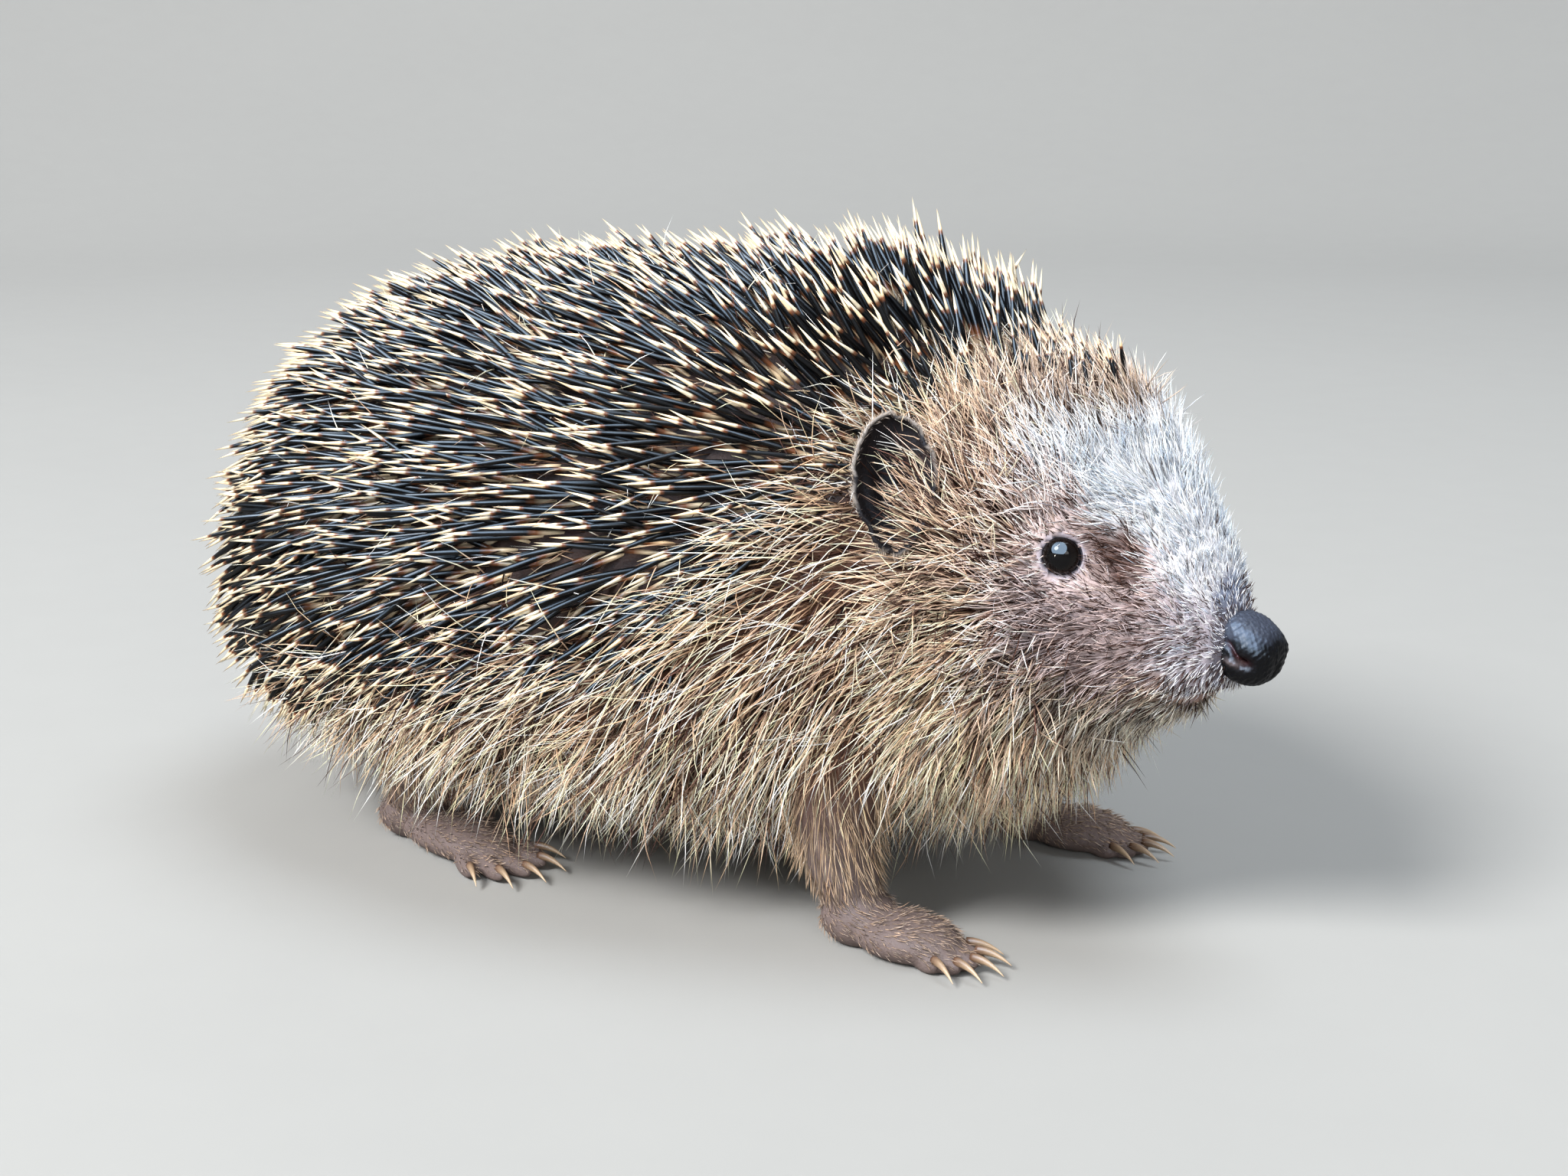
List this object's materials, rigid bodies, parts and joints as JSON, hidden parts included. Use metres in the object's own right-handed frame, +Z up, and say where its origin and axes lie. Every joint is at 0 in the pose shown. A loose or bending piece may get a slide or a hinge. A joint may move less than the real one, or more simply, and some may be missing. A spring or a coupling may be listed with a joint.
{
  "type": "hedgehog",
  "caption": "Life-size still model of a live European hedgehog standing alert, spiny back, shaggy skirt and pointed muzzle, resting on its soles.",
  "frame": {"origin": "on the floor under the middle of the model's bounding box", "axes": "+X where the body and head point, -Y the animal's right side, +Z up"},
  "size_m": [0.221, 0.13, 0.1186],
  "materials": {
    "spines": "dense stiff spines, dark brown-black with cream tips and bases",
    "coarse_hair": "long coarse blond to tan hair",
    "face_hair": "short hair, pale forehead, grey-brown muzzle, tan cheeks",
    "ear_skin": "dark grey-brown skin with fine pale hairs on the rim",
    "eye": "glossy black, wet",
    "nose_leather": "black, wet, finely pebbled",
    "foot_skin": "brown skin with short hair",
    "claw_horn": "horn, brown to cream"
  },
  "bodies": {
    "root": {"rump": "spines", "trunk": "spines", "neck": "coarse_hair", "head": "face_hair", "lower_jaw": "face_hair", "nose": "nose_leather", "eye_right": "eye", "eye_left": "eye", "ear_right": "ear_skin", "ear_left": "ear_skin", "front_leg_right": "coarse_hair", "front_leg_left": "coarse_hair", "hind_leg_right": "coarse_hair", "hind_leg_left": "coarse_hair", "front_foot_right": "foot_skin", "front_foot_left": "foot_skin", "hind_foot_right": "foot_skin", "hind_foot_left": "foot_skin", "tail": "coarse_hair", "claw_front_right_1": "claw_horn", "claw_front_right_2": "claw_horn", "claw_front_right_3": "claw_horn", "claw_front_right_4": "claw_horn", "claw_front_right_5": "claw_horn", "claw_front_left_1": "claw_horn", "claw_front_left_2": "claw_horn", "claw_front_left_3": "claw_horn", "claw_front_left_4": "claw_horn", "claw_front_left_5": "claw_horn", "claw_hind_right_1": "claw_horn", "claw_hind_right_2": "claw_horn", "claw_hind_right_3": "claw_horn", "claw_hind_right_4": "claw_horn", "claw_hind_right_5": "claw_horn", "claw_hind_left_1": "claw_horn", "claw_hind_left_2": "claw_horn", "claw_hind_left_3": "claw_horn", "claw_hind_left_4": "claw_horn", "claw_hind_left_5": "claw_horn"}
  },
  "joints": []
}
